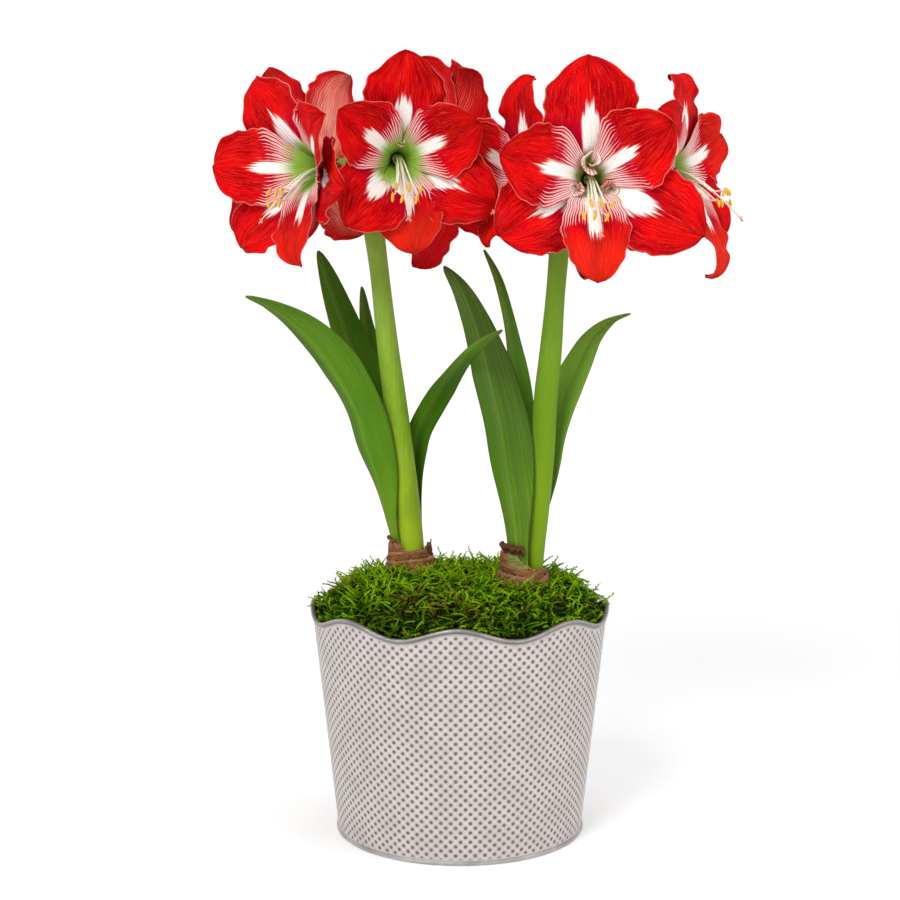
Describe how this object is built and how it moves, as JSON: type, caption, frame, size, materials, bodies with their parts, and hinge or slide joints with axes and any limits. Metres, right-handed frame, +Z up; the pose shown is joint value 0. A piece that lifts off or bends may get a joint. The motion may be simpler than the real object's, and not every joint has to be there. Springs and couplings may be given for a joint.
{
  "type": "potted amaryllis",
  "caption": "Potted amaryllis with large red and white striped funnel flowers on leafless stalks above strap leaves, its bulbs set in moss in a round metal pot with a scalloped rim",
  "frame": {"origin": "centre of the pot's flat underside, on the surface it stands on", "axes": "+Z up the plant; the side that the flowers mostly face looks along -Y, so +X is to its viewer's right"},
  "size_m": [0.3935, 0.2609, 0.6082],
  "materials": {
    "pot_metal": "satin",
    "compost": "matte",
    "moss": "matte",
    "bulb_tunic": "satin",
    "stem_green": "satin",
    "leaf_green": "satin",
    "petal_red": "satin",
    "stamen_pale": "satin",
    "spathe_brown": "matte"
  },
  "bodies": {
    "root": {"pot": "pot_metal", "soil": "compost", "moss": "moss", "bulb_left": "bulb_tunic", "bulb_right": "bulb_tunic", "scape_left": "stem_green", "scape_right": "stem_green", "leaf_left_1": "leaf_green", "leaf_left_2": "leaf_green", "leaf_left_3": "leaf_green", "leaf_left_4": "leaf_green", "leaf_right_1": "leaf_green", "leaf_right_2": "leaf_green", "leaf_right_3": "leaf_green", "spathe_left_1": "spathe_brown", "spathe_left_2": "spathe_brown", "spathe_right_1": "spathe_brown", "spathe_right_2": "spathe_brown", "bloom_left_front": "petal_red", "bloom_left_side": "petal_red", "bloom_left_inner": "petal_red", "bloom_left_back": "petal_red", "bloom_right_front": "petal_red", "bloom_right_side": "petal_red", "bloom_right_inner": "petal_red", "bloom_right_back": "petal_red", "stamens_left_front": "stamen_pale", "stamens_left_side": "stamen_pale", "stamens_left_inner": "stamen_pale", "stamens_left_back": "stamen_pale", "stamens_right_front": "stamen_pale", "stamens_right_side": "stamen_pale", "stamens_right_inner": "stamen_pale", "stamens_right_back": "stamen_pale"}
  },
  "joints": []
}
